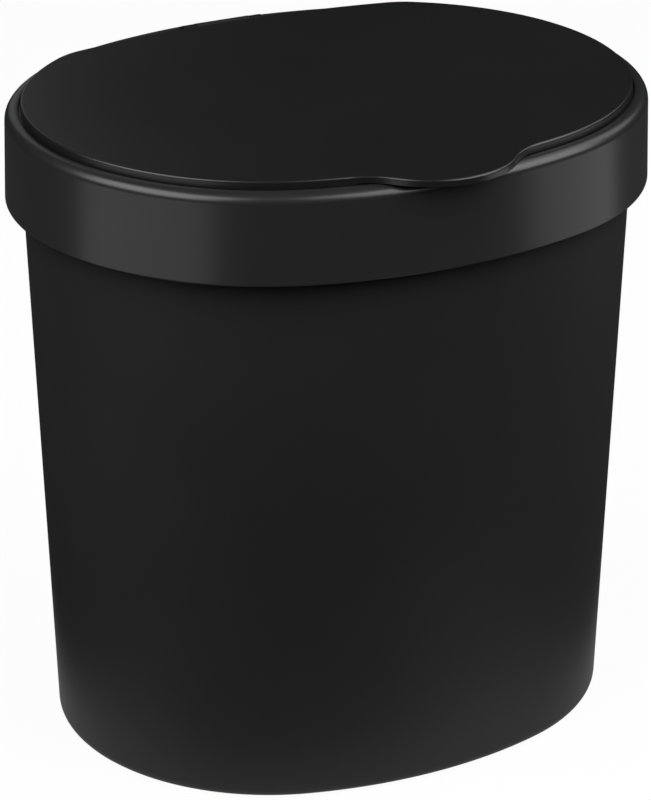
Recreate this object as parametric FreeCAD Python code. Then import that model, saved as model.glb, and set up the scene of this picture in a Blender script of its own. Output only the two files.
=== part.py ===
import FreeCAD, Part
import math
import os

Vector = FreeCAD.Vector
UP = Vector(0, 0, 1)
ALONG_X = Vector(1, 0, 0)

# Countertop trash can: a tapered oval bucket, a collar that sits over its rim, and a flat lid
# hinged at the back of the collar. Millimetres, +Z up, the front with the lift tab faces -Y.
# The origin is the middle of the foot, on the surface that the can stands on.

# Outline that every piece follows: an oval of four tangent arcs, at the collar's lower edge.
# Every other oval is this one moved inward by an inset.
collar_half_width = 91.2
collar_half_depth = 75.3
collar_end_flattening = 2.8

# Heights
lid_top_height = 185.0
lid_thickness = 2.6
collar_height = 25.2
lip_height = 0.6

# Collar
collar_wall = 2.0
collar_taper = 0.6
collar_edge_round = 0.5
collar_corner_round = 0.8
crest_round = 3.0
lip_round = 0.35
ledge_thickness = 2.6
ledge_width = 3.4
sleeve_wall = 1.5
sleeve_depth = 12.0
deck_rib_thickness = 1.4
deck_rib_height = 6.0
deck_rib_spacing = 17.0
deck_rib_count = 5

# Bucket
bucket_wall = 1.8
bucket_draft_deg = 2.17
bead_reach = 1.0
bead_height = 3.2
bead_round = 0.7
base_round = 3.5
floor_thickness = 2.0
floor_round = 4.0
foot_width = 3.0
foot_height = 1.2
foot_round = 0.5
floor_joint_width = 5.0

# Lid
lid_inset = 4.9
lid_edge_round = 0.7
lid_back_setback = 11.3
lid_back_radius = 250.0
lid_corner_radius = 20.0
tab_reach = 6.2
tab_nose_radius = 24.0
tab_blend_radius = 20.0
lid_rib_depth = 2.9
lid_rib_wall = 1.4

# Hinge at the middle of the back edge. The pin is pressed into the lid's ears and snaps into
# the collar's knuckle through a slot that is narrower than the pin.
hinge_setback = 3.5
hinge_drop = 3.0
knuckle_radius = 2.3
knuckle_length = 17.0
snap_slot_width = 1.5
snap_slot_tilt_deg = 42.0
ear_radius = 2.2
ear_width = 3.6
ear_arm_length = 8.6
ear_arm_top_step = 1.6
ear_arm_depth = 1.7
pin_radius = 1.0
pin_chamfer = 0.2

# Clearances
rim_clearance = 0.5
seat_gap = 0.3
lid_side_gap = 0.5
lid_rib_gap = 0.8
pin_grip = 0.01
pin_running_clearance = 0.05
ear_side_gap = 0.3
pocket_gap = 0.4

# Points closer together than this count as one, when sections are drawn and edges are picked
same_place = 0.0001

# Worked out from the values above
collar_end_radius = collar_half_depth - collar_end_flattening
front_radius = ((collar_half_width - collar_end_radius) ** 2 + collar_half_depth ** 2
                - collar_end_radius ** 2) / (2 * (collar_half_depth - collar_end_radius))
front_centre = Vector(0, front_radius - collar_half_depth, 0)
end_centre = Vector(collar_half_width - collar_end_radius, 0, 0)
arc_split_deg = math.degrees(math.atan2(front_centre.y, end_centre.x))

lid_underside = lid_top_height - lid_thickness
ledge_top = lid_underside - seat_gap
crest_top = ledge_top + lip_height
tab_underside = crest_top + seat_gap
roof = ledge_top - ledge_thickness
skirt_bottom = crest_top - collar_height
mouth_inset = lid_inset + ledge_width

bucket_height = roof - seat_gap
bucket_rim_inset = collar_taper + collar_wall + rim_clearance + bead_reach
bucket_slope = math.tan(math.radians(bucket_draft_deg))

lid_back_reach = collar_half_depth - lid_back_setback
axis_y = lid_back_reach + hinge_setback
axis_z = lid_top_height - hinge_drop
ear_start = knuckle_length / 2 + ear_side_gap
ear_end = ear_start + ear_width


def rounded_face(corners):
    """Face in the XZ plane through (x, z, radius) corners, each one rounded by its radius."""
    stretches = []
    for index, (x, z, radius) in enumerate(corners):
        here = Vector(x, 0, z)
        if radius <= 0:
            stretches.append((here, None, here))
            continue
        before = corners[index - 1]
        after = corners[(index + 1) % len(corners)]
        to_before = (Vector(before[0], 0, before[1]) - here).normalize()
        to_after = (Vector(after[0], 0, after[1]) - here).normalize()
        half_angle = to_before.getAngle(to_after) / 2
        inward = (to_before + to_after).normalize()
        tangent = radius / math.tan(half_angle)
        middle = here + inward * (radius / math.sin(half_angle) - radius)
        stretches.append((here + to_before * tangent, middle, here + to_after * tangent))
    edges = []
    for index, (start, middle, end) in enumerate(stretches):
        if middle is not None:
            edges.append(Part.Arc(start, middle, end).toShape())
        following = stretches[(index + 1) % len(stretches)][0]
        if end.distanceToPoint(following) > same_place:
            edges.append(Part.makeLine(end, following))
    return Part.Face(Part.Wire(edges))


def oval_arcs():
    """Centre, radius, first angle and sweep of the outline's front, right, back and left arcs."""
    split = arc_split_deg
    long_sweep = 180 - 2 * split
    return [(front_centre, front_radius, 180 + split, long_sweep),
            (end_centre, collar_end_radius, -split, 2 * split),
            (front_centre * -1, front_radius, split, long_sweep),
            (end_centre * -1, collar_end_radius, 180 - split, 2 * split)]


def merged(solids):
    """One clean solid from pieces that meet face to face or overlap."""
    return solids[0].multiFuse(solids[1:]).removeSplitter()


def oval_ring(corners):
    """Ring that follows the oval; its section is given by (inset, height, radius) corners."""
    sectors = []
    for centre, radius, first, sweep in oval_arcs():
        section = rounded_face([(radius - inset, height, rounding) for inset, height, rounding in corners])
        section.rotate(Vector(0, 0, 0), UP, first)
        section.translate(centre)
        sectors.append(section.revolve(centre, UP, sweep))
    return merged(sectors)


def arc_edge(centre, radius, first_deg, last_deg):
    """Arc in the XY plane from one angle to the other about its centre."""
    points = []
    for share in (0, 0.5, 1):
        angle = math.radians(first_deg + share * (last_deg - first_deg))
        points.append(centre + Vector(radius * math.cos(angle), radius * math.sin(angle), 0))
    return Part.Arc(*points).toShape()


def slab(edges, bottom, top):
    """Flat plate with the outline of the edges, between two heights."""
    plate = Part.Face(Part.Wire(Part.__sortEdges__(edges))).extrude(Vector(0, 0, top - bottom))
    plate.translate(Vector(0, 0, bottom))
    return plate


def oval_plate(inset, bottom, top):
    """Filled oval plate at an inset from the collar's outline."""
    edges = [arc_edge(centre, radius - inset, first, first + sweep)
             for centre, radius, first, sweep in oval_arcs()]
    return slab(edges, bottom, top)


def tangent_centre(first, first_distance, second, second_distance):
    """Point at both distances from two centres, on the side of larger X."""
    span = second - first
    along = (first_distance ** 2 - second_distance ** 2 + span.Length ** 2) / (2 * span.Length)
    across = math.sqrt(first_distance ** 2 - along ** 2)
    step = Vector(span).normalize()
    side = Vector(step.y, -step.x, 0)
    choices = [first + step * along + side * across, first + step * along - side * across]
    return max(choices, key=lambda point: point.x)


def bearing(origin, target):
    """Angle in degrees of the direction from one point to another."""
    return math.degrees(math.atan2(target.y - origin.y, target.x - origin.x))


def mirrored_pair(edges):
    """The right-hand edges together with their mirror images on the left."""
    return edges + [edge.mirror(Vector(0, 0, 0), ALONG_X) for edge in edges]


def lid_edges(grow, with_tab=False):
    """Outline of the lid, moved outward by grow: oval front and ends, gently bowed back edge."""
    front = front_radius - lid_inset
    end = collar_end_radius - lid_inset
    back_centre = Vector(0, lid_back_reach - lid_back_radius, 0)
    corner_centre = tangent_centre(end_centre, end - lid_corner_radius,
                                   back_centre, lid_back_radius - lid_corner_radius)
    to_end = bearing(end_centre, corner_centre)
    to_back = bearing(back_centre, corner_centre)
    right = [arc_edge(end_centre, end + grow, -arc_split_deg, to_end),
             arc_edge(corner_centre, lid_corner_radius + grow, to_end, to_back)]
    back = arc_edge(back_centre, lid_back_radius + grow, to_back, 180 - to_back)
    if not with_tab:
        middle = arc_edge(front_centre, front + grow, 180 + arc_split_deg, 360 - arc_split_deg)
        return mirrored_pair(right) + [back, middle]
    nose_centre = Vector(0, tab_nose_radius - collar_half_depth - tab_reach, 0)
    blend_centre = tangent_centre(front_centre, front + tab_blend_radius,
                                  nose_centre, tab_nose_radius + tab_blend_radius)
    to_blend = bearing(front_centre, blend_centre)
    from_nose = bearing(nose_centre, blend_centre)
    right.append(arc_edge(front_centre, front, to_blend, -arc_split_deg))
    right.append(arc_edge(blend_centre, tab_blend_radius, to_blend + 180, from_nose + 180))
    nose = arc_edge(nose_centre, tab_nose_radius, -180 - from_nose, from_nose)
    return mirrored_pair(right) + [back, nose]


def rod(radius, half_length):
    """Cylinder on the hinge axis, centred on the can's middle plane."""
    return Part.makeCylinder(radius, 2 * half_length, Vector(-half_length, axis_y, axis_z), ALONG_X)


def box(x_range, y_range, z_range):
    """Box between two values along each axis."""
    corner = Vector(x_range[0], y_range[0], z_range[0])
    size = [upper - lower for lower, upper in (x_range, y_range, z_range)]
    return Part.makeBox(size[0], size[1], size[2], corner)


def bucket_inset(height):
    """Inset of the bucket's outer wall at a height."""
    return bucket_rim_inset + (bucket_height - height) * bucket_slope


def bucket():
    """Tub with a foot ring, a raised floor and a bead round its rim."""
    bead_bottom = bucket_height - bead_height
    bead_inset = bucket_rim_inset - bead_reach
    base_inset = bucket_inset(0)
    foot_inner_inset = base_inset + base_round + foot_width
    floor_edge_inset = foot_inner_inset + floor_joint_width
    floor_top = foot_height + floor_thickness
    wall = oval_ring([
        (base_inset, 0, base_round),
        (bucket_inset(bead_bottom), bead_bottom, 0),
        (bead_inset, bead_bottom + bead_reach, 0),
        (bead_inset, bucket_height, bead_round),
        (bucket_rim_inset + bucket_wall, bucket_height, bead_round),
        (bucket_inset(floor_top) + bucket_wall, floor_top, floor_round),
        (floor_edge_inset, floor_top, 0),
        (floor_edge_inset, foot_height, 0),
        (foot_inner_inset, foot_height, foot_round),
        (foot_inner_inset, 0, foot_round),
    ])
    return merged([wall, oval_plate(floor_edge_inset, foot_height, floor_top)])


def lies_at(edge, height):
    """Whether the whole edge lies at one height."""
    return max(abs(edge.BoundBox.ZMin - height), abs(edge.BoundBox.ZMax - height)) < same_place


def round_lip(body):
    """Rounds the edge where the crest drops to the lid's ledge."""
    lip = Part.Wire(Part.__sortEdges__(lid_edges(lid_side_gap)))
    lip.translate(Vector(0, 0, crest_top))
    edges = [edge for edge in body.Edges if lies_at(edge, crest_top)
             and lip.distToShape(Part.Vertex(edge.valueAt(sum(edge.ParameterRange) / 2)))[0] < same_place]
    return body.makeFillet(min(lip_round, lip_height / 2), edges)


def deck_ribs():
    """Stiffening ribs under the shelf that carries the hinge."""
    back_end_inset = bucket_inset(roof - deck_rib_height) + bucket_wall + pocket_gap
    ribs = []
    for index in range(deck_rib_count):
        middle = (index - (deck_rib_count - 1) / 2) * deck_rib_spacing
        outer_edge = abs(middle) + deck_rib_thickness / 2
        sleeve_y = (lid_back_reach - lid_back_radius
                    + math.sqrt((lid_back_radius - ledge_width + sleeve_wall / 2) ** 2 - middle ** 2))
        back_y = (collar_half_depth - front_radius
                  + math.sqrt((front_radius - back_end_inset) ** 2 - outer_edge ** 2))
        ribs.append(box((middle - deck_rib_thickness / 2, middle + deck_rib_thickness / 2),
                        (sleeve_y, back_y), (roof - deck_rib_height, roof)))
    return ribs


def pin_seat():
    """Bore for the pin in the knuckle, open to the upper back through the snap slot."""
    half_length = knuckle_length / 2 + ear_side_gap / 2
    bore = rod(pin_radius + pin_running_clearance, half_length)
    slot = box((-half_length, half_length), (axis_y - snap_slot_width / 2, axis_y + snap_slot_width / 2),
               (axis_z, axis_z + knuckle_radius + 1))
    slot.rotate(Vector(0, axis_y, axis_z), ALONG_X, -snap_slot_tilt_deg)
    return merged([bore, slot])


def rim_collar():
    """Ring over the bucket's rim: skirt, rounded crest, ledge for the lid, sleeve and knuckle."""
    shell_inset = lid_inset + ledge_width / 2
    shell = oval_ring([
        (0, skirt_bottom, collar_edge_round),
        (collar_taper, crest_top, crest_round),
        (shell_inset, crest_top, 0),
        (shell_inset, roof, 0),
        (collar_taper + collar_wall, roof, collar_corner_round),
        (collar_wall, skirt_bottom, collar_edge_round),
    ])
    body = merged([shell, oval_plate(shell_inset, roof, crest_top)])
    body = body.cut(slab(lid_edges(lid_side_gap), ledge_top, crest_top + 1))
    body = round_lip(body)
    sleeve = slab(lid_edges(sleeve_wall - ledge_width), roof - sleeve_depth, roof)
    mouth = slab(lid_edges(-ledge_width), roof - sleeve_depth - 1, crest_top + 1)
    knuckle = rod(knuckle_radius, knuckle_length / 2)
    body = merged([body, sleeve, knuckle] + deck_ribs())
    body = body.cut(mouth)
    for side in (1, -1):
        across = sorted((side * (ear_start - ear_side_gap), side * (ear_end + pocket_gap)))
        body = body.cut(box(across,
                            (lid_back_reach - ledge_width - 1, axis_y + ear_radius + pocket_gap),
                            (axis_z - ear_radius - pocket_gap, lid_top_height + 1)))
    return body.cut(pin_seat()).removeSplitter()


def round_top_edge(plate):
    """Rounds the upper edge of the lid's plate."""
    edges = [edge for edge in plate.Edges if lies_at(edge, lid_top_height)]
    return plate.makeFillet(min(lid_edge_round, (lid_top_height - tab_underside) / 2), edges)


def hinge_ear(side):
    """Arm and barrel that reach back from the lid beside the collar's knuckle."""
    across = sorted((side * ear_start, side * ear_end))
    barrel = Part.makeCylinder(ear_radius, ear_width, Vector(across[0], axis_y, axis_z), ALONG_X)
    arm = box(across, (axis_y - ear_arm_length, axis_y),
              (lid_underside - ear_arm_depth, lid_top_height - ear_arm_top_step))
    return [barrel, arm]


def lid_flap():
    """Flat lid with a lift tab in front, a rib round its underside and two hinge ears."""
    plate = round_top_edge(slab(lid_edges(0, with_tab=True), tab_underside, lid_top_height))
    seat = slab(lid_edges(0), lid_underside, tab_underside)
    rib_outer = -(ledge_width + lid_rib_gap)
    rib_bottom = lid_underside - lid_rib_depth
    rib = slab(lid_edges(rib_outer), rib_bottom, lid_underside)
    rib = rib.cut(slab(lid_edges(rib_outer - lid_rib_wall), rib_bottom - 1, lid_underside + 1))
    body = merged([plate, seat, rib] + hinge_ear(1) + hinge_ear(-1))
    return body.cut(rod(pin_radius + pin_grip, ear_end + 1)).removeSplitter()


def hinge_pin():
    """Rod that joins the lid's ears to the collar's knuckle."""
    pin = rod(pin_radius, ear_end)
    ends = [edge for edge in pin.Edges if edge.BoundBox.XLength < same_place]
    return pin.makeChamfer(pin_chamfer, ends)


def write_nodes():
    """Writes each piece to parts/NODE.step."""
    os.makedirs("parts", exist_ok=True)
    pieces = {"bucket": bucket, "rim_collar": rim_collar, "lid_flap": lid_flap, "hinge_pin": hinge_pin}
    for name, make in pieces.items():
        shape = make()
        solids = shape.Solids
        print(name, "valid", shape.isValid(), "solids", len(solids), "volume", round(shape.Volume, 1))
        shape = solids[0] if len(solids) == 1 else shape
        shape.exportStep("parts/" + name + ".step")


write_nodes()
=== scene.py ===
import math

import bmesh
import bpy
from bpy.props import FloatProperty, FloatVectorProperty, IntProperty, PointerProperty
from bpy.types import Operator, Panel, PropertyGroup
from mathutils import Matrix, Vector


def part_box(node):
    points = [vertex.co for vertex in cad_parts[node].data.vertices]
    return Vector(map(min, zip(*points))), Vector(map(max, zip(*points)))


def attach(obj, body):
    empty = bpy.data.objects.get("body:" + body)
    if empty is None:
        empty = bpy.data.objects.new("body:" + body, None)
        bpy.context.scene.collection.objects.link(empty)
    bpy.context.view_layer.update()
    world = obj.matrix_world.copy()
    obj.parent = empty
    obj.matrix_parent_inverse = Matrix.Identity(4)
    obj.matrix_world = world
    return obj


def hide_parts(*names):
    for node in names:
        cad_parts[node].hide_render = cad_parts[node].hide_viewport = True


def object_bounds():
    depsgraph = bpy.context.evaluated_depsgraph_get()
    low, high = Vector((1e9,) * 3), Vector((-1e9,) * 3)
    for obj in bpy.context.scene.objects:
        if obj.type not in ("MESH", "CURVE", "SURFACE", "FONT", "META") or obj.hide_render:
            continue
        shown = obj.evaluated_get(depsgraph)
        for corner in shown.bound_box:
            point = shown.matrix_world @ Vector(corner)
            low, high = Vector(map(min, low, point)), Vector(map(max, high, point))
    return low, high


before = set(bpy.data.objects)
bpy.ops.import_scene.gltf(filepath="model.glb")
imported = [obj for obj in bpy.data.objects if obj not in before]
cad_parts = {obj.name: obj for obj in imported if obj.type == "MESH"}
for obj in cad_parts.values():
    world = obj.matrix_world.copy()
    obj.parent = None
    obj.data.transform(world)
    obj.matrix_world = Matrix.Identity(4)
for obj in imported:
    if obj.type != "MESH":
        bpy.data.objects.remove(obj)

# Countertop trash can: an oval bucket, a collar over its rim and a flat flap lid, all swept round
# one oval, with a steel hinge pin and a small studio. Metres, in the frame of the solids: +Z up,
# front towards -Y. The same values as in the solids' own source give the same shapes here.

bl_info = {
    "name": "Countertop Trash Can",
    "version": (1, 0, 0),
    "blender": (4, 5, 0),
    "location": "View3D > Sidebar > Trash Can",
    "description": "Dresses the solids of an oval countertop trash can and sets up a studio for it",
    "category": "Object",
}

SOLID_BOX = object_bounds()
COLLAR_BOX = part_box("rim_collar")
LID_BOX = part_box("lid_flap")
PIN_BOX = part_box("hinge_pin")
MM = 0.001

# Corners of each swept outline, steps of each rounding, rings of each large flat end, and corners
# of the round knuckle, its bore and the lid's ears
STATIONS = 480
ROUND_STEPS = 8
END_RINGS = 12
CIRCLE_STEPS = 64
EAR_STEPS = 96

# Edges sharper than this stay sharp, corners closer than this distance become one, and differences
# smaller than the last value count as none
SHARP_ANGLE = math.radians(32)
MERGE_DISTANCE = 1e-7
TINY = 1e-6


# --- Settings -----------------------------------------------------------------------------

def length(name, description, millimetres, least=0.0):
    """Length setting with a default and a least value in millimetres."""
    return FloatProperty(name=name, description=description, default=millimetres * MM,
                         min=least * MM, unit="LENGTH", precision=6)


def distance(name, description, metres, least=0.0):
    """Length setting with a default and a least value in metres."""
    return FloatProperty(name=name, description=description, default=metres,
                         min=least, unit="LENGTH")


def angle(name, description, degrees):
    """Angle setting with a default in degrees."""
    return FloatProperty(name=name, description=description, default=math.radians(degrees),
                         subtype="ANGLE")


def factor(name, description, value, least=0.0):
    """Setting between a least value and one."""
    return FloatProperty(name=name, description=description, default=value,
                         min=least, max=1.0, subtype="FACTOR")


def paint(description, *linear):
    """Colour setting with its default as linear red, green and blue."""
    return FloatVectorProperty(name="Colour", description=description, default=linear,
                               size=3, min=0.0, max=1.0, subtype="COLOR")


class OutlineSizes(PropertyGroup):
    """The oval that every piece follows, and the heights where the pieces meet."""
    half_width: length("Half width", "Half the width of the collar's lower edge", COLLAR_BOX[1][0] / MM)
    half_depth: length("Half depth", "Half the depth of the collar's lower edge", COLLAR_BOX[1][1] / MM)
    end_flattening: length("End flattening", "How much smaller than the half depth the end radius is", 2.8)
    top: length("Top", "Height of the lid's upper face", LID_BOX[1][2] / MM)
    underside: length("Lid underside", "Height of the lid plate's lower face", 182.4)
    ledge: length("Ledge", "Height of the ledge under the lid", 182.1)
    crest: length("Crest", "Height of the collar's crest", 182.7)
    roof: length("Roof", "Height of the shelf's underside, above the bucket's rim", 179.5)


class BucketSizes(PropertyGroup):
    """Sizes of the tub."""
    height: length("Height", "Height of the rim", 179.2)
    rim_inset: length("Rim inset", "Inset of the wall at the rim from the collar's outline", 4.1)
    draft: angle("Draft", "Slope of the wall", 2.17)
    wall: length("Wall", "Thickness of the wall", 1.8)
    bead_reach: length("Bead reach", "How far the bead round the rim stands out", 1.0)
    bead_height: length("Bead height", "Height of the bead", 3.2)
    bead_round: length("Bead round", "Rounding of the rim", 0.7)
    base_round: length("Base round", "Rounding where the wall meets the foot", 3.5)
    floor: length("Floor", "Height of the inside of the floor", 3.2)
    floor_round: length("Floor round", "Rounding between wall and floor inside", 4.0)
    foot_width: length("Foot width", "Width of the foot ring", 3.0)
    foot_height: length("Foot height", "Height of the hollow under the floor", 1.2)
    foot_round: length("Foot round", "Rounding of the foot ring's inner edge", 0.5)


class CollarSizes(PropertyGroup):
    """Sizes of the ring over the bucket's rim."""
    height: length("Height", "Height of the ring", 25.2)
    wall: length("Wall", "Thickness of the skirt", 2.0)
    taper: length("Taper", "How far the skirt leans in over its height", 0.6)
    edge_round: length("Edge round", "Rounding of the skirt's lower edges", 0.5)
    corner_round: length("Corner round", "Rounding inside, where skirt and shelf meet", 0.8)
    crest_round: length("Crest round", "Rounding of the outer crest", 3.0)
    lip_round: length("Lip round", "Rounding where the crest drops to the ledge", 0.3)
    side_gap: length("Side gap", "Gap round the lid", 0.5)
    ledge_width: length("Ledge width", "Width of the ledge under the lid's edge", 3.4)
    sleeve_wall: length("Sleeve wall", "Thickness of the sleeve inside the bucket", 1.5)
    sleeve_depth: length("Sleeve depth", "Depth of that sleeve", 12.0)
    rib_thickness: length("Rib thickness", "Thickness of the ribs under the hinge shelf", 1.4)
    rib_height: length("Rib height", "Height of those ribs", 6.0)
    rib_spacing: length("Rib spacing", "Distance between those ribs", 17.0)
    rib_count: IntProperty(name="Rib count", description="Number of those ribs", default=5, min=0)


class LidSizes(PropertyGroup):
    """Sizes of the flap."""
    inset: length("Inset", "Inset of the lid's edge from the collar's outline", 4.9)
    edge_round: length("Edge round", "Rounding of the upper edge", 0.7)
    tab_underside: length("Tab underside", "Height of the lift tab's lower face", 183.0)
    back_setback: length("Back setback", "Distance of the back edge from the collar's outline", 11.3)
    back_radius: length("Back radius", "Radius of the bowed back edge", 250.0)
    corner_radius: length("Corner radius", "Radius of the back corners", 20.0)
    tab_reach: length("Tab reach", "How far the lift tab reaches past the collar", 6.2)
    tab_nose_radius: length("Tab nose radius", "Radius of the lift tab's nose", 24.0)
    tab_blend_radius: length("Tab blend radius", "Radius between the tab and the lid's edge", 20.0)
    rib_gap: length("Rib gap", "Distance of the lower rib from the collar's mouth", 0.8)
    rib_depth: length("Rib depth", "Depth of the rib round the underside", 2.9)
    rib_wall: length("Rib wall", "Thickness of that rib", 1.4)


class HingeSizes(PropertyGroup):
    """Sizes of the knuckle, the ears and their pockets."""
    knuckle_radius: length("Knuckle radius", "Radius of the collar's knuckle", 2.3)
    knuckle_length: length("Knuckle length", "Length of the collar's knuckle", 17.0)
    bore_radius: length("Bore radius", "Radius of the knuckle's bore", 1.05)
    slot_width: length("Slot width", "Width of the slot that the pin snaps through", 1.5)
    slot_tilt: angle("Slot tilt", "Tilt of that slot towards the back", 42)
    ear_radius: length("Ear radius", "Radius of the lid's ears", 2.2)
    ear_bore_radius: length("Ear bore radius", "Radius of the ears' bores", 1.01)
    ear_width: length("Ear width", "Width of each ear", 3.6)
    ear_gap: length("Ear gap", "Gap between ear and knuckle", 0.3)
    arm_length: length("Arm length", "Length of the arm from the hinge axis", 8.6)
    arm_top_step: length("Arm top step", "Height from the lid's top down to the arm", 1.6)
    arm_depth: length("Arm depth", "How far the arm hangs under the lid plate", 1.7)
    pocket_gap: length("Pocket gap", "Clearance round each ear", 0.4)


class PlasticFinish(PropertyGroup):
    """Colour, shine and grain of a moulded plastic surface."""
    colour: paint("Colour of the plastic", 0.018, 0.018, 0.0183)
    gloss: factor("Gloss", "Specular level of the skin", 0.5)
    roughness: factor("Roughness", "Average roughness of the skin", 0.3, least=0.05)
    roughness_spread: factor(
        "Roughness spread", "How far the roughness wanders either side of the average", 0.01)
    grain_size: length("Grain size", "Width of one grain of the mould's texture", 0.35, least=0.05)
    grain_depth: length("Grain depth", "Depth of the mould's texture", 0.004)


class BucketFinish(PlasticFinish):
    """The bucket's skin is duller than the collar's and the lid's."""
    gloss: factor("Gloss", "Specular level of the skin", 0.14)
    roughness: factor("Roughness", "Average roughness of the skin", 0.6, least=0.05)


class LidFinishWithPaintedShade(PlasticFinish):
    """The lid's skin has half the walls' colour. This is painted shade that darkens its upward face, which
    the lamps light more than the walls.
    """
    # Painted shade: half the walls' colour, so the more brightly lit upward face of the lid renders darker
    colour: paint("Colour of the plastic", 0.009, 0.009, 0.0092)


class PinFinish(PropertyGroup):
    """Colour and drawing lines of the wire pin."""
    colour: paint("Colour of the steel", 0.55, 0.55, 0.56)
    roughness: factor("Roughness", "Average roughness of the drawn wire", 0.3, least=0.05)
    line_width: length("Line width", "Width of one drawing line along the wire", 0.08, least=0.01)


class StudioSettings(PropertyGroup):
    """Floor, light and camera."""
    camera_azimuth: angle("Camera azimuth", "Turn of the camera about the can, from the front", -27.2)
    camera_elevation: angle("Camera elevation", "Height angle of the camera", 23.43)
    camera_distance: distance(
        "Camera distance", "Distance from the camera to the middle of the can", 1.114, least=0.3)
    camera_aim: FloatVectorProperty(
        name="Camera aim", description="Point that the camera looks at",
        default=(-1.0 * MM, -0.1 * MM, 90.7 * MM), size=3, subtype="TRANSLATION", unit="LENGTH")
    focal_length: FloatProperty(
        name="Focal length", description="Focal length of the lens", default=176.1, min=1.0, unit="CAMERA")
    sensor_height: FloatProperty(
        name="Sensor height", description="Height of the sensor", default=36.0, min=1.0, unit="CAMERA")
    floor_radius: distance("Floor radius", "Radius of the round floor up to its sweep", 3.0, least=0.5)
    sweep_height: distance("Sweep height", "Height of the floor's swept edge and of the curtain", 0.6)
    curtain_share: factor("Curtain share", "Radius of the curtain as a share of the floor's", 0.97)
    floor_white: factor("Floor white", "Share of plain white in the floor; the rest takes the shadow", 0.95)
    lamp_distance: distance("Lamp distance", "Distance from their aim to the softboxes", 1.1, least=0.4)
    lamp_height: distance("Lamp height", "Height of each softbox's face", 0.8, least=0.05)
    lamp_aim: distance("Lamp aim", "Height of the point that the softboxes face", 0.12)
    card_near: distance("Card near edge", "Distance from the can's middle to the floor cards", 0.38)
    card_far: distance("Card far edge", "Distance from the can's middle to the cards' far edge", 1.0)
    strip_width: distance("Strip width", "Width of the strip of floor between the flags, at the can", 0.185)
    strip_far_width: distance("Strip far width", "Width of that strip at its far end", 0.28)
    strip_length: distance("Strip length", "Length of that strip behind the can", 0.6)
    flag_start: distance("Flag start", "Distance from the can's middle to the flag in front of it", 0.085)
    ambient: FloatProperty(
        name="Ambient", description="Strength of the light from all round", default=0.05, min=0.0)


def settings(name):
    """One group of this can's settings."""
    return getattr(bpy.context.scene.trash_can, name)


# --- Outlines and swept skins --------------------------------------------------------------

def centre_on_y(reach, radius):
    """Centre, on the middle plane, of an arc whose front point lies at -reach."""
    return Vector((0.0, radius - reach))


def oval_arcs():
    """Centre, radius, first angle and sweep of the outline's front, right, back and left arcs."""
    sizes = settings("outline")
    end = sizes.half_depth - sizes.end_flattening
    front = (((sizes.half_width - end) ** 2 + sizes.half_depth ** 2 - end ** 2)
             / (2 * (sizes.half_depth - end)))
    front_centre = centre_on_y(sizes.half_depth, front)
    end_centre = Vector((sizes.half_width - end, 0.0))
    split = math.atan2(front_centre.y, end_centre.x)
    wide = math.pi - 2 * split
    return [(front_centre, front, math.pi + split, wide), (end_centre, end, -split, 2 * split),
            (-front_centre, front, split, wide), (-end_centre, end, math.pi - split, 2 * split)]


def tangent_centre(first, first_distance, second, second_distance):
    """Point at both distances from two centres, on the side of larger X."""
    span = second - first
    along = (first_distance ** 2 - second_distance ** 2 + span.length_squared) / (2 * span.length)
    across = math.sqrt(first_distance ** 2 - along ** 2)
    step = span.normalized()
    side = Vector((step.y, -step.x))
    return max((first + step * along + side * across, first + step * along - side * across),
               key=lambda point: point.x)


def bearing(origin, target):
    """Angle of the direction from one point to another."""
    return math.atan2(target.y - origin.y, target.x - origin.x)


def lid_arcs(with_tab):
    """Arcs of the lid's edge; a negative radius marks an arc that curves inward."""
    outline, lid = settings("outline"), settings("lid_sizes")
    (front_centre, front, _, _), (end_centre, end, right_first, right_sweep) = oval_arcs()[:2]
    front, end, split = front - lid.inset, end - lid.inset, right_sweep / 2
    reach = outline.half_depth - lid.back_setback
    back_centre = Vector((0.0, reach - lid.back_radius))
    corner = tangent_centre(end_centre, end - lid.corner_radius,
                            back_centre, lid.back_radius - lid.corner_radius)
    to_end, to_back = bearing(end_centre, corner), bearing(back_centre, corner)
    right = [(end_centre, end, right_first, to_end + split),
             (corner, lid.corner_radius, to_end, to_back - to_end)]
    middle = [(back_centre, lid.back_radius, to_back, math.pi - 2 * to_back)]
    if with_tab:
        nose = centre_on_y(outline.half_depth + lid.tab_reach, lid.tab_nose_radius)
        blend = tangent_centre(front_centre, front + lid.tab_blend_radius,
                               nose, lid.tab_nose_radius + lid.tab_blend_radius)
        to_blend, from_nose = bearing(front_centre, blend), bearing(nose, blend)
        right.append((front_centre, front, to_blend, -split - to_blend))
        right.append((blend, -lid.tab_blend_radius, to_blend + math.pi, from_nose - to_blend))
        middle.append((nose, lid.tab_nose_radius, -math.pi - from_nose, math.pi + 2 * from_nose))
    else:
        middle.append((front_centre, front, math.pi + split, math.pi - 2 * split))
    left = [(Vector((-centre.x, centre.y)), radius, math.pi - first - sweep, sweep)
            for centre, radius, first, sweep in right]
    return right + middle + left


def stations(arcs):
    """Point and outward normal of the outline at evenly spaced turns about the middle."""
    found = []
    for turn in range(STATIONS):
        ray = Vector((math.cos(math.tau * turn / STATIONS), math.sin(math.tau * turn / STATIONS)))
        hits = []
        for centre, radius, first, sweep in arcs:
            along = ray.dot(centre)
            inside = along ** 2 - centre.length_squared + radius ** 2
            if inside < 0:
                continue
            for reach in (along + math.sqrt(inside), along - math.sqrt(inside)):
                point = ray * reach
                past = (bearing(centre, point) - first) % math.tau
                excess = min(max(past - sweep, 0.0), math.tau - past)
                if reach > 0:
                    hits.append((excess, -reach, point, (point - centre) / radius))
        nearest = min(hit[0] for hit in hits)
        _, _, point, normal = min((hit for hit in hits if hit[0] < nearest + TINY), key=lambda hit: hit[1])
        found.append((point, normal))
    return found


def ring(outline, inset, height):
    """Closed loop at an inset from an outline."""
    return [(*(point - normal * inset), height) for point, normal in outline]


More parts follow.
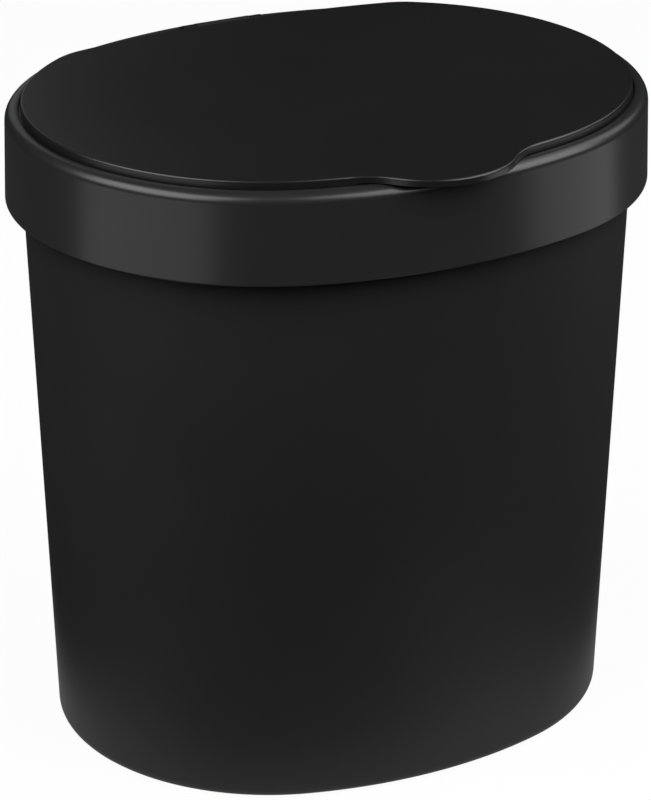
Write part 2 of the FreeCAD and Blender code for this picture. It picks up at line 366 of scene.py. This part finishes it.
def rounded(corners):
    """(inset, height) points along (inset, height, radius) corners, each rounded by its radius."""
    points = []
    for index, (x, z, radius) in enumerate(corners):
        here = Vector((x, z))
        if radius <= 0:
            points.append((x, z))
            continue
        to_before = (Vector(corners[index - 1][:2]) - here).normalized()
        to_after = (Vector(corners[index + 1][:2]) - here).normalized()
        half_angle = to_before.angle(to_after) / 2
        centre = here + (to_before + to_after).normalized() * radius / math.sin(half_angle)
        start = (here + to_before * radius / math.tan(half_angle) - centre).normalized()
        end = (here + to_after * radius / math.tan(half_angle) - centre).normalized()
        points += [tuple(centre + radius * start.slerp(end, step / ROUND_STEPS))
                   for step in range(ROUND_STEPS + 1)]
    return points


def add_end(mesh, loop):
    """Closes a loop with one flat face, or with smaller and smaller rings when it has many corners."""
    if len(loop) < STATIONS:
        mesh.faces.new(loop)
        return
    middle = sum((corner.co for corner in loop), Vector()) / len(loop)
    outer = loop
    for step in range(1, END_RINGS):
        inner = [mesh.verts.new(corner.co.lerp(middle, step / END_RINGS)) for corner in loop]
        add_band(mesh, outer, inner)
        outer = inner
    centre = mesh.verts.new(middle)
    for index, corner in enumerate(outer):
        mesh.faces.new((corner, outer[(index + 1) % len(outer)], centre))


def add_band(mesh, one, other):
    """Adds faces from one loop of corners to another with as many corners."""
    for index in range(len(one)):
        following = (index + 1) % len(one)
        mesh.faces.new((one[index], one[following], other[following], other[index]))


def add_skin(mesh, rings, closed):
    """Adds faces from ring to ring, and either back to the first ring or flat end faces."""
    loops = [[mesh.verts.new(place) for place in loop] for loop in rings]
    for one, other in zip(loops, loops[1:] + loops[:1] if closed else loops[1:]):
        add_band(mesh, one, other)
    if not closed:
        add_end(mesh, loops[0])
        add_end(mesh, loops[-1])


def add_prism(mesh, loop, start, end):
    """Adds a closed prism along X whose section is a loop of (y, z) points."""
    add_skin(mesh, [[(x, y, z) for y, z in loop] for x in (start, end)], closed=False)


def circle(radius):
    """Loop of (y, z) points round the hinge axis."""
    axis = hinge_axis()
    turns = [math.tau * step / CIRCLE_STEPS for step in range(CIRCLE_STEPS)]
    return [(axis.x + radius * math.cos(turn), axis.y + radius * math.sin(turn)) for turn in turns]


def rectangle(y_range, z_range):
    """Loop of (y, z) points between two values along each axis."""
    return [(y_range[0], z_range[0]), (y_range[1], z_range[0]),
            (y_range[1], z_range[1]), (y_range[0], z_range[1])]


def hinge_axis():
    """(y, z) of the hinge axis, the middle of the pin."""
    return Vector(((PIN_BOX[0][1] + PIN_BOX[1][1]) / 2, (PIN_BOX[0][2] + PIN_BOX[1][2]) / 2))


def new_object(name, fill):
    """Object whose mesh a function fills."""
    data = bpy.data.meshes.new(name)
    mesh = bmesh.new()
    fill(mesh)
    bmesh.ops.remove_doubles(mesh, verts=mesh.verts, dist=MERGE_DISTANCE)
    bmesh.ops.recalc_face_normals(mesh, faces=mesh.faces)
    mesh.to_mesh(data)
    mesh.free()
    made = bpy.data.objects.new(name, data)
    bpy.context.scene.collection.objects.link(made)
    return made


def carve(body, operation, fill):
    """Joins another closed mesh to the body, or cuts it out."""
    tool = new_object("Tool", fill)
    change = body.modifiers.new("Carve", "BOOLEAN")
    change.operation = operation
    change.solver = "EXACT"
    change.object = tool
    bpy.context.view_layer.update()
    result = bpy.data.meshes.new_from_object(body.evaluated_get(bpy.context.evaluated_depsgraph_get()))
    body.modifiers.clear()
    spent = body.data
    body.data = result
    bpy.data.meshes.remove(spent)
    data = tool.data
    bpy.data.objects.remove(tool)
    bpy.data.meshes.remove(data)


def finish_piece(piece, node, body, material):
    """Smooths a piece between its sharp edges, gives it its finish and puts it in the node's place."""
    piece.data.shade_smooth()
    piece.data.set_sharp_from_angle(angle=SHARP_ANGLE)
    weighted = piece.modifiers.new("Flat faces stay flat", "WEIGHTED_NORMAL")
    weighted.keep_sharp = True
    weighted.weight = 100
    piece.data.materials.clear()
    piece.data.materials.append(material)
    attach(piece, body)
    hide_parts(node)


# --- Pieces -------------------------------------------------------------------------------

def bucket_inset(height):
    """Inset of the bucket's outer wall at a height."""
    sizes = settings("bucket_sizes")
    return sizes.rim_inset + (sizes.height - height) * math.tan(sizes.draft)


def fill_bucket(mesh):
    """Tub with a foot ring, a raised floor and a bead round its rim."""
    sizes = settings("bucket_sizes")
    oval = stations(oval_arcs())
    bead_bottom = sizes.height - sizes.bead_height
    bead_inset = sizes.rim_inset - sizes.bead_reach
    foot_inner = bucket_inset(0) + sizes.base_round + sizes.foot_width
    middle = foot_inner + sizes.floor_round
    section = rounded([
        (middle, sizes.foot_height, 0),
        (foot_inner, sizes.foot_height, sizes.foot_round),
        (foot_inner, 0, sizes.foot_round),
        (bucket_inset(0), 0, sizes.base_round),
        (bucket_inset(bead_bottom), bead_bottom, 0),
        (bead_inset, bead_bottom + sizes.bead_reach, 0),
        (bead_inset, sizes.height, sizes.bead_round),
        (sizes.rim_inset + sizes.wall, sizes.height, sizes.bead_round),
        (bucket_inset(sizes.floor) + sizes.wall, sizes.floor, sizes.floor_round),
        (middle, sizes.floor, 0),
    ])
    add_skin(mesh, [ring(oval, inset, height) for inset, height in section], closed=False)


def fill_collar(mesh):
    """Skirt, rounded crest, ledge, sleeve and shelf, as one closed skin."""
    heights, sizes = settings("outline"), settings("collar_sizes")
    oval = stations(oval_arcs())
    lid_line = stations(lid_arcs(with_tab=False))
    lid_inset = settings("lid_sizes").inset
    outside = rounded([
        (lid_inset, heights.crest, 0),
        (sizes.taper, heights.crest, sizes.crest_round),
        (0, heights.crest - sizes.height, sizes.edge_round),
        (sizes.wall, heights.crest - sizes.height, sizes.edge_round),
        (sizes.taper + sizes.wall, heights.roof, sizes.corner_round),
        (lid_inset + sizes.ledge_width, heights.roof, 0),
    ])[1:-1]
    sleeve_bottom = heights.roof - sizes.sleeve_depth
    sleeve_outer = sizes.ledge_width - sizes.sleeve_wall
    lip_start = -sizes.side_gap - 2 * sizes.lip_round
    inside = rounded([
        (sleeve_outer, heights.roof, 0),
        (sleeve_outer, sleeve_bottom, 0),
        (sizes.ledge_width, sleeve_bottom, 0),
        (sizes.ledge_width, heights.ledge, 0),
        (-sizes.side_gap, heights.ledge, 0),
        (-sizes.side_gap, heights.crest, sizes.lip_round),
        (lip_start, heights.crest, 0),
    ])[:-1]
    add_skin(mesh, [ring(oval, inset, height) for inset, height in outside]
             + [ring(lid_line, inset, height) for inset, height in inside], closed=True)


def fill_deck_ribs(mesh):
    """Stiffening ribs under the shelf that carries the hinge."""
    outline, heights = stations(oval_arcs()), settings("outline")
    sizes, bucket = settings("collar_sizes"), settings("bucket_sizes")
    bottom = heights.roof - sizes.rib_height
    gap = settings("hinge_sizes").pocket_gap
    back = ring(outline, bucket_inset(bottom) + bucket.wall + gap, 0)
    front = ring(stations(lid_arcs(with_tab=False)), sizes.ledge_width - sizes.sleeve_wall / 2, 0)
    for index in range(sizes.rib_count):
        middle = (index - (sizes.rib_count - 1) / 2) * sizes.rib_spacing
        half = sizes.rib_thickness / 2
        ends = [max((point for point in loop if point[1] > 0), key=lambda point: -abs(point[0] - middle))[1]
                for loop in (front, back)]
        add_prism(mesh, rectangle(ends, (bottom, heights.roof + half)), middle - half, middle + half)


def ear_spans():
    """X range of each of the lid's two ears."""
    sizes = settings("hinge_sizes")
    start = sizes.knuckle_length / 2 + sizes.ear_gap
    return ((start, start + sizes.ear_width), (-start - sizes.ear_width, -start))


def fill_knuckle(mesh):
    """Rod on the hinge axis that the pin runs in."""
    sizes = settings("hinge_sizes")
    add_prism(mesh, circle(sizes.knuckle_radius), -sizes.knuckle_length / 2, sizes.knuckle_length / 2)


def fill_pockets(mesh):
    """Room for the lid's ears as they turn."""
    sizes, axis = settings("hinge_sizes"), hinge_axis()
    reach = sizes.ear_radius + sizes.pocket_gap
    front = (settings("outline").half_depth - settings("lid_sizes").back_setback
             - settings("collar_sizes").ledge_width - MM)
    for start, end in ear_spans():
        add_prism(mesh, rectangle((front, axis.x + reach), (axis.y - reach, settings("outline").top + MM)),
                  start - (sizes.ear_gap if start > 0 else sizes.pocket_gap),
                  end + (sizes.pocket_gap if start > 0 else sizes.ear_gap))


def fill_bore(mesh):
    """Bore for the pin."""
    sizes = settings("hinge_sizes")
    half = (sizes.knuckle_length + sizes.ear_gap) / 2
    add_prism(mesh, circle(sizes.bore_radius), -half, half)


def fill_snap_slot(mesh):
    """Slot that opens the bore towards the upper back."""
    sizes, axis = settings("hinge_sizes"), hinge_axis()
    half = (sizes.knuckle_length + sizes.ear_gap) / 2
    upward = Vector((math.sin(sizes.slot_tilt), math.cos(sizes.slot_tilt)))
    side = Vector((upward.y, -upward.x)) * sizes.slot_width / 2
    far = axis + upward * (sizes.knuckle_radius + MM)
    corners = (axis - side, axis + side, far + side, far - side)
    add_prism(mesh, [tuple(corner) for corner in corners], -half, half)


def add_ears(mesh):
    """Arms and bored barrels that reach back from the lid beside the knuckle."""
    sizes, axis, heights = settings("hinge_sizes"), hinge_axis(), settings("outline")
    above = heights.top - sizes.arm_top_step - axis.y
    below = axis.y - (heights.underside - sizes.arm_depth)
    turns = [math.tau * step / EAR_STEPS for step in range(EAR_STEPS)]
    for level in (above, -below):
        turns += [math.atan2(level, -sizes.arm_length) % math.tau,
                  (math.pi - math.asin(level / sizes.ear_radius)) % math.tau]
    outer, inner = [], []
    for turn in sorted(turns):
        away = Vector((math.cos(turn), math.sin(turn)))
        reach = sizes.ear_radius
        if away.x < -TINY:
            limit = above if away.y > 0 else below
            reach = max(reach, min(sizes.arm_length / -away.x, limit / max(abs(away.y), TINY)))
        outer.append(tuple(axis + away * reach))
        inner.append(tuple(axis + away * sizes.ear_bore_radius))
    for start, end in ear_spans():
        rims = ((start, outer), (end, outer), (end, inner), (start, inner))
        add_skin(mesh, [[(x, y, z) for y, z in loop] for x, loop in rims], closed=True)


def fill_lid(mesh):
    """Plate with its lift tab, the step under the tab and the rib round the underside."""
    heights, sizes = settings("outline"), settings("lid_sizes")
    with_tab, plain = stations(lid_arcs(with_tab=True)), stations(lid_arcs(with_tab=False))
    rib = settings("collar_sizes").ledge_width + sizes.rib_gap
    rib_bottom = heights.underside - sizes.rib_depth
    upper = rounded([(2 * sizes.edge_round, heights.top, 0), (0, heights.top, sizes.edge_round),
                     (0, sizes.tab_underside, 0)])[1:]
    lower = [(0, sizes.tab_underside), (0, heights.underside), (rib, heights.underside), (rib, rib_bottom),
             (rib + sizes.rib_wall, rib_bottom), (rib + sizes.rib_wall, heights.underside)]
    add_skin(mesh, [ring(with_tab, inset, height) for inset, height in upper]
             + [ring(plain, inset, height) for inset, height in lower], closed=False)
    add_ears(mesh)


# --- Finishes -----------------------------------------------------------------------------

# Noise cells per metre of the skin's slow unevenness, the part of that noise which is used, and
# how far it shifts the colour
FLOW_SCALE = 14.0
FLOW_RANGE = {"From Min": 0.3, "From Max": 0.7}
TINT_RANGE = {"To Min": 0.9, "To Max": 1.1}

# How much finer the skin's second grain is than its first, and its share of the height
FINE_GRAIN_RATIO = 2.6
FINE_GRAIN_SHARE = 0.35

# How far the wire's lines are stretched along it, and how far they shift its tone and roughness
WIRE_STRETCH = (0.02, 1.0, 1.0)
WIRE_TONES = {"To Min": 0.8, "To Max": 1.1}
WIRE_ROUGHNESS_SPREAD = 0.08


def new_group(name, inputs, outputs):
    """Empty shader node group with its input and output nodes."""
    tree = bpy.data.node_groups.new(name, "ShaderNodeTree")
    for way, sockets in (("INPUT", inputs), ("OUTPUT", outputs)):
        for label, kind in sockets:
            tree.interface.new_socket(name=label, in_out=way, socket_type=kind)
    return tree, tree.nodes.new("NodeGroupInput"), tree.nodes.new("NodeGroupOutput")


def add_node(tree, kind, values=None, **settings_of_node):
    """Node with its settings, its plain input values and its links from other sockets."""
    node = tree.nodes.new(kind)
    for name, value in settings_of_node.items():
        setattr(node, name, value)
    for name, value in (values or {}).items():
        if isinstance(value, bpy.types.NodeSocket):
            tree.links.new(value, node.inputs[name])
        else:
            node.inputs[name].default_value = value
    return node


def moulded_skin():
    """Group: colour, roughness and height of a plastic skin from a spark-eroded mould."""
    name = "Moulded skin"
    if name in bpy.data.node_groups:
        return bpy.data.node_groups[name]
    tree, given, result = new_group(
        name,
        [("Colour", "NodeSocketColor"), ("Roughness", "NodeSocketFloat"),
         ("Roughness spread", "NodeSocketFloat"), ("Grains per metre", "NodeSocketFloat")],
        [("Colour", "NodeSocketColor"), ("Roughness", "NodeSocketFloat"), ("Height", "NodeSocketFloat")])
    place = add_node(tree, "ShaderNodeTexCoord").outputs["Object"]
    flow = add_node(tree, "ShaderNodeTexNoise",
                    {"Vector": place, "Scale": FLOW_SCALE, "Detail": 3.0, "Roughness": 0.55})
    coarse = add_node(tree, "ShaderNodeTexNoise",
                      {"Vector": place, "Scale": given.outputs["Grains per metre"],
                       "Detail": 1.0, "Roughness": 0.6})
    fine_scale = add_node(tree, "ShaderNodeMath",
                          {0: given.outputs["Grains per metre"], 1: FINE_GRAIN_RATIO}, operation="MULTIPLY")
    fine = add_node(tree, "ShaderNodeTexNoise",
                    {"Vector": place, "Scale": fine_scale.outputs[0], "Detail": 0.0})
    height = add_node(tree, "ShaderNodeMix",
                      {"Factor": FINE_GRAIN_SHARE, "A": coarse.outputs["Fac"], "B": fine.outputs["Fac"]},
                      data_type="FLOAT")
    tint = add_node(tree, "ShaderNodeMapRange",
                    {"Value": flow.outputs["Fac"], **FLOW_RANGE, **TINT_RANGE}, clamp=False)
    shade = add_node(tree, "ShaderNodeVectorMath",
                     {0: given.outputs["Colour"], "Scale": tint.outputs["Result"]}, operation="SCALE")
    swing = add_node(tree, "ShaderNodeMapRange",
                     {"Value": flow.outputs["Fac"], **FLOW_RANGE, "To Min": -1.0, "To Max": 1.0},
                     clamp=False)
    wander = add_node(tree, "ShaderNodeMath",
                      {0: swing.outputs["Result"], 1: given.outputs["Roughness spread"],
                       2: given.outputs["Roughness"]}, operation="MULTIPLY_ADD")
    tree.links.new(shade.outputs["Vector"], result.inputs["Colour"])
    tree.links.new(wander.outputs[0], result.inputs["Roughness"])
    tree.links.new(height.outputs["Result"], result.inputs["Height"])
    return tree


def new_material(name):
    """Material with a Principled shader, its node tree and that shader."""
    material = bpy.data.materials.new(name)
    material.use_nodes = True
    return material, material.node_tree, material.node_tree.nodes["Principled BSDF"]


def plastic(name, finish):
    """Moulded black plastic with the given finish."""
    material, tree, shader = new_material(name)
    skin = add_node(tree, "ShaderNodeGroup",
                    {"Colour": (*finish.colour, 1.0), "Roughness": finish.roughness,
                     "Roughness spread": finish.roughness_spread,
                     "Grains per metre": 1.0 / finish.grain_size}, node_tree=moulded_skin())
    bump = add_node(tree, "ShaderNodeBump",
                    {"Height": skin.outputs["Height"], "Distance": finish.grain_depth, "Strength": 1.0})
    tree.links.new(skin.outputs["Colour"], shader.inputs["Base Color"])
    tree.links.new(skin.outputs["Roughness"], shader.inputs["Roughness"])
    tree.links.new(bump.outputs["Normal"], shader.inputs["Normal"])
    shader.inputs["Specular IOR Level"].default_value = finish.gloss
    return material


def drawn_wire(finish):
    """Steel wire with fine lines along its length."""
    material, tree, shader = new_material("Drawn steel wire")
    place = add_node(tree, "ShaderNodeTexCoord").outputs["Object"]
    stretched = add_node(tree, "ShaderNodeMapping", {"Vector": place, "Scale": WIRE_STRETCH})
    lines = add_node(tree, "ShaderNodeTexNoise",
                     {"Vector": stretched.outputs["Vector"], "Scale": 1.0 / finish.line_width,
                      "Detail": 2.0})
    tone = add_node(tree, "ShaderNodeMapRange", {"Value": lines.outputs["Fac"], **WIRE_TONES})
    shade = add_node(tree, "ShaderNodeVectorMath",
                     {0: tuple(finish.colour), "Scale": tone.outputs["Result"]}, operation="SCALE")
    rough = add_node(tree, "ShaderNodeMapRange",
                     {"Value": lines.outputs["Fac"],
                      "To Min": finish.roughness - WIRE_ROUGHNESS_SPREAD,
                      "To Max": finish.roughness + WIRE_ROUGHNESS_SPREAD})
    tree.links.new(shade.outputs["Vector"], shader.inputs["Base Color"])
    tree.links.new(rough.outputs["Result"], shader.inputs["Roughness"])
    shader.inputs["Metallic"].default_value = 1.0
    return material


def dress(node, material):
    """Gives every face of a solid the same material."""
    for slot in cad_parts[node].material_slots:
        slot.material = material


# --- Studio -------------------------------------------------------------------------------

# Azimuth from the camera and elevation in degrees, width in metres and brightness of each softbox
SOFTBOXES = {
    "Left": (-55, 40, 1.1, 4.2),
    "Right": (66, 40, 1.3, 3.8),
    "Right back": (125, 42, 0.5, 1.5),
    "Back left": (-160, 25, 0.35, 0.3),
    "Back": (180, 35, 0.75, 0.02),
}

# First and last azimuth from the camera in degrees of each pale card on the floor
FLOOR_CARDS = {"Left": (-80, -22), "Right": (72, 110)}

# How light the floor and the flags are, and how high the flags and the cards lie
FLOOR_GREY = 0.9
FLAG_GREY = 0.06
FLAG_LIFT = 1 * MM
CARD_LIFT = 2 * MM

# Corners round the floor and the curtain, and steps of the floor's sweep and of each card's arc
FLOOR_TURNS = 96
CURTAIN_TURNS = 48
SWEEP_STEPS = 12
CARD_STEPS = 12


def direction(azimuth, elevation):
    """Unit vector from the can towards an azimuth, turned from the front, and an elevation."""
    return Vector((math.sin(azimuth) * math.cos(elevation),
                   -math.cos(azimuth) * math.cos(elevation),
                   math.sin(elevation)))


def show_white(tree, shaded, share):
    """Mixes a floor's shading with plain white for camera, glossy and transmission rays."""
    path = add_node(tree, "ShaderNodeLightPath")
    glossy = add_node(tree, "ShaderNodeMath",
                      {0: path.outputs["Is Camera Ray"], 1: path.outputs["Is Glossy Ray"]},
                      operation="MAXIMUM")
    seen = add_node(tree, "ShaderNodeMath",
                    {0: glossy.outputs[0], 1: path.outputs["Is Transmission Ray"]}, operation="MAXIMUM")
    amount = add_node(tree, "ShaderNodeMath", {0: seen.outputs[0], 1: share}, operation="MULTIPLY")
    white = add_node(tree, "ShaderNodeEmission", {"Color": (1.0, 1.0, 1.0, 1.0), "Strength": 1.0})
    return add_node(tree, "ShaderNodeMixShader", {0: amount.outputs[0], 1: shaded, 2: white.outputs[0]})


def matte(name, grey, roughness):
    """Material of a plain grey surface without gloss, its node tree and its shader."""
    material, tree, shader = new_material(name)
    shader.inputs["Base Color"].default_value = (grey, grey, grey, 1.0)
    shader.inputs["Roughness"].default_value = roughness
    shader.inputs["Specular IOR Level"].default_value = 0.0
    return material, tree, shader


def floor_material():
    """Pale floor that shows as white and still takes the can's shadow."""
    material, tree, shader = matte("Studio floor", FLOOR_GREY, roughness=0.9)
    output = tree.nodes["Material Output"]
    mixed = show_white(tree, shader.outputs[0], settings("studio").floor_white)
    tree.links.new(mixed.outputs[0], output.inputs["Surface"])
    return material


def swept_floor(radius, height):
    """Round floor whose edge sweeps up in a quarter circle."""
    turns = [math.tau * turn / FLOOR_TURNS for turn in range(FLOOR_TURNS)]
    rings = [(radius, 0.0)]
    for step in range(1, SWEEP_STEPS + 1):
        climb = math.radians(90) * step / SWEEP_STEPS
        rings.append((radius + height * math.sin(climb), height * (1 - math.cos(climb))))
    points = [(0.0, 0.0, 0.0)]
    for reach, rise in rings:
        points += [(reach * math.cos(turn), reach * math.sin(turn), rise) for turn in turns]
    beside = [(turn, (turn + 1) % FLOOR_TURNS) for turn in range(FLOOR_TURNS)]
    faces = [(0, 1 + turn, 1 + following) for turn, following in beside]
    for step in range(SWEEP_STEPS):
        first, second = 1 + step * FLOOR_TURNS, 1 + (step + 1) * FLOOR_TURNS
        faces += [(first + turn, second + turn, second + following, first + following)
                  for turn, following in beside]
    mesh = bpy.data.meshes.new("Studio floor")
    mesh.from_pydata(points, [], faces)
    mesh.shade_smooth()
    return mesh


def flag_material():
    """Dark cloth of the flags and the curtain, which keep the pale floor out of the can's sides."""
    return matte("Flag cloth", FLAG_GREY, roughness=1.0)[0]


def flag_mesh(studio):
    """Flags that lie on the floor all round the strip behind the can, and a low curtain round them."""
    towards = direction(studio.camera_azimuth, 0.0)
    across = Vector((-towards.y, towards.x, 0.0))
    far, near, behind = studio.floor_radius, studio.flag_start, -studio.strip_length
    slim, wide = studio.strip_width / 2, studio.strip_far_width / 2
    left = [(far, -far), (-far, -far), (-far, -wide), (behind, -wide), (near, -slim), (far, -slim)]
    outlines = [left, [(u, -v) for u, v in left], [(far, -slim), (near, -slim), (near, slim), (far, slim)],
                [(behind, -wide), (-far, -wide), (-far, wide), (behind, wide)]]
    points, faces = [], []
    for outline in outlines:
        faces.append(tuple(range(len(points), len(points) + len(outline))))
        points += [towards * u + across * v + Vector((0.0, 0.0, FLAG_LIFT)) for u, v in outline]
    for step in range(CURTAIN_TURNS):
        foot, turn = len(points), math.tau * step / CURTAIN_TURNS
        following = 2 if step < CURTAIN_TURNS - 1 else 2 - 2 * CURTAIN_TURNS
        place = studio.curtain_share * far * Vector((math.cos(turn), math.sin(turn), 0.0))
        points += [place, place + Vector((0.0, 0.0, studio.sweep_height))]
        faces.append((foot, foot + following, foot + following + 1, foot + 1))
    mesh = bpy.data.meshes.new("Studio flags")
    mesh.from_pydata(points, [], faces)
    return mesh


def card_mesh(studio, start, end):
    """Pale card on the flags, a part of a ring round the can."""
    turns = [math.radians(start + (end - start) * step / CARD_STEPS) for step in range(CARD_STEPS + 1)]
    arc = [direction(studio.camera_azimuth + turn, 0.0) for turn in turns]
    points = [reach * towards for reach in (studio.card_near, studio.card_far) for towards in arc]
    faces = [(step, step + 1, len(arc) + step + 1, len(arc) + step) for step in range(CARD_STEPS)]
    mesh = bpy.data.meshes.new("Studio card")
    mesh.from_pydata([point + Vector((0.0, 0.0, CARD_LIFT)) for point in points], [], faces)
    return mesh


def add_stage_sheet(name, mesh, material):
    """Puts a sheet on the floor that only reflections and bounced light see."""
    sheet = bpy.data.objects.new(name, mesh)
    sheet.data.materials.append(material)
    sheet.visible_camera = sheet.visible_shadow = False
    bpy.context.scene.collection.objects.link(sheet)


def add_softbox(name, place, aim, size, brightness):
    """Oblong lamp that faces the can and glows with a plain brightness."""
    lamp = bpy.data.lights.new(name, "AREA")
    lamp.shape = "RECTANGLE"
    lamp.size, lamp.size_y = size
    lamp.energy = math.pi * size[0] * size[1] * brightness
    softbox = bpy.data.objects.new(name, lamp)
    softbox.location = place
    softbox.rotation_euler = (place - aim).to_track_quat("Z", "Y").to_euler()
    softbox.visible_camera = False
    bpy.context.scene.collection.objects.link(softbox)


# --- Operators ----------------------------------------------------------------------------

class TRASHCAN_OT_bucket(Operator):
    """Builds the bucket in its matte moulded plastic"""
    bl_idname = "trashcan.bucket"
    bl_label = "Build Bucket"

    def execute(self, context):
        piece = new_object("Bucket", fill_bucket)
        finish_piece(piece, "bucket", "bucket",
                     plastic("Bucket plastic", settings("bucket_finish")))
        return {"FINISHED"}


class TRASHCAN_OT_collar(Operator):
    """Builds the collar, with its knuckle and ribs, in satin moulded plastic"""
    bl_idname = "trashcan.collar"
    bl_label = "Build Collar"

    def execute(self, context):
        piece = new_object("Collar", fill_collar)
        carve(piece, "UNION", fill_knuckle)
        carve(piece, "UNION", fill_deck_ribs)
        for cut in (fill_pockets, fill_bore, fill_snap_slot):
            carve(piece, "DIFFERENCE", cut)
        finish_piece(piece, "rim_collar", "collar",
                     plastic("Collar plastic", settings("collar_finish")))
        return {"FINISHED"}


class TRASHCAN_OT_lid(Operator):
    """Builds the flap lid, with its tab and ears, in satin moulded plastic"""
    bl_idname = "trashcan.lid"
    bl_label = "Build Lid"

    def execute(self, context):
        piece = new_object("Lid", fill_lid)
        finish_piece(piece, "lid_flap", "lid",
                     # The lid's colour carries painted shade: half the walls' colour, for its more brightly
                     # lit upward face
                     plastic("Lid plastic with painted shade", settings("lid_finish_with_painted_shade")))
        return {"FINISHED"}


class TRASHCAN_OT_pin(Operator):
    """Gives the hinge pin its drawn steel"""
    bl_idname = "trashcan.pin"
    bl_label = "Dress Hinge Pin"

    def execute(self, context):
        dress("hinge_pin", drawn_wire(settings("pin_finish")))
        return {"FINISHED"}


class TRASHCAN_OT_studio(Operator):
    """Builds the floor, the softboxes, the flags and cards, the ambient light and the camera"""
    bl_idname = "trashcan.studio"
    bl_label = "Build Studio"

    def execute(self, context):
        studio = settings("studio")
        scene = context.scene
        floor = bpy.data.objects.new("Studio floor", swept_floor(studio.floor_radius, studio.sweep_height))
        floor.data.materials.append(floor_material())
        scene.collection.objects.link(floor)

        lamp_aim = Vector((0.0, 0.0, studio.lamp_aim))
        for name, (azimuth, elevation, width, brightness) in SOFTBOXES.items():
            towards = direction(studio.camera_azimuth + math.radians(azimuth), math.radians(elevation))
            add_softbox(f"Softbox {name}", lamp_aim + studio.lamp_distance * towards,
                        lamp_aim, (width, studio.lamp_height), brightness)

        add_stage_sheet("Studio flags", flag_mesh(studio), flag_material())
        for name, (start, end) in FLOOR_CARDS.items():
            add_stage_sheet(f"{name} floor card", card_mesh(studio, start, end), floor.data.materials[0])

        world = bpy.data.worlds.new("Studio ambient")
        world.use_nodes = True
        world.node_tree.nodes["Background"].inputs["Strength"].default_value = studio.ambient
        scene.world = world

        lens = bpy.data.cameras.new("Camera")
        lens.sensor_fit = "VERTICAL"
        lens.sensor_height = studio.sensor_height
        lens.lens = studio.focal_length
        camera = bpy.data.objects.new("Camera", lens)
        middle = Vector((0.0, 0.0, SOLID_BOX[1][2] / 2))
        place = middle + studio.camera_distance * direction(studio.camera_azimuth, studio.camera_elevation)
        camera.location = place
        camera.rotation_euler = (place - Vector(studio.camera_aim)).to_track_quat("Z", "Y").to_euler()
        scene.collection.objects.link(camera)
        scene.camera = camera
        scene.view_settings.view_transform = "Standard"
        return {"FINISHED"}


class TRASHCAN_PT_panel(Panel):
    """Lists the can's pieces and the studio in the sidebar"""
    bl_idname = "TRASHCAN_PT_panel"
    bl_label = "Trash Can"
    bl_space_type = "VIEW_3D"
    bl_region_type = "UI"
    bl_category = "Trash Can"

    def draw(self, context):
        for operator, groups in STEPS:
            box = self.layout.box()
            box.operator(operator.bl_idname)
            for group in groups:
                values = settings(group)
                for name in values.bl_rna.properties.keys():
                    if name not in ("rna_type", "name"):
                        box.prop(values, name)


STEPS = (
    (TRASHCAN_OT_bucket, ("outline", "bucket_sizes", "bucket_finish")),
    (TRASHCAN_OT_collar, ("collar_sizes", "hinge_sizes", "collar_finish")),
    (TRASHCAN_OT_lid, ("lid_sizes", "lid_finish_with_painted_shade")),
    (TRASHCAN_OT_pin, ("pin_finish",)),
    (TRASHCAN_OT_studio, ("studio",)),
)


class TrashCanSettings(PropertyGroup):
    """All the can's settings."""
    outline: PointerProperty(type=OutlineSizes)
    bucket_sizes: PointerProperty(type=BucketSizes)
    collar_sizes: PointerProperty(type=CollarSizes)
    lid_sizes: PointerProperty(type=LidSizes)
    hinge_sizes: PointerProperty(type=HingeSizes)
    bucket_finish: PointerProperty(type=BucketFinish)
    collar_finish: PointerProperty(type=PlasticFinish)
    lid_finish_with_painted_shade: PointerProperty(type=LidFinishWithPaintedShade)
    pin_finish: PointerProperty(type=PinFinish)
    studio: PointerProperty(type=StudioSettings)


CLASSES = (OutlineSizes, BucketSizes, CollarSizes, LidSizes, HingeSizes,
           PlasticFinish, BucketFinish, LidFinishWithPaintedShade, PinFinish, StudioSettings, TrashCanSettings,
           TRASHCAN_OT_bucket, TRASHCAN_OT_collar, TRASHCAN_OT_lid, TRASHCAN_OT_pin,
           TRASHCAN_OT_studio, TRASHCAN_PT_panel)


def register():
    for each in CLASSES:
        bpy.utils.register_class(each)
    bpy.types.Scene.trash_can = PointerProperty(type=TrashCanSettings)


def unregister():
    del bpy.types.Scene.trash_can
    for each in reversed(CLASSES):
        bpy.utils.unregister_class(each)


def main():
    """Builds every piece and the studio."""
    register()
    bpy.ops.trashcan.bucket()
    bpy.ops.trashcan.collar()
    bpy.ops.trashcan.lid()
    bpy.ops.trashcan.pin()
    bpy.ops.trashcan.studio()


if __name__ == "__main__":
    main()
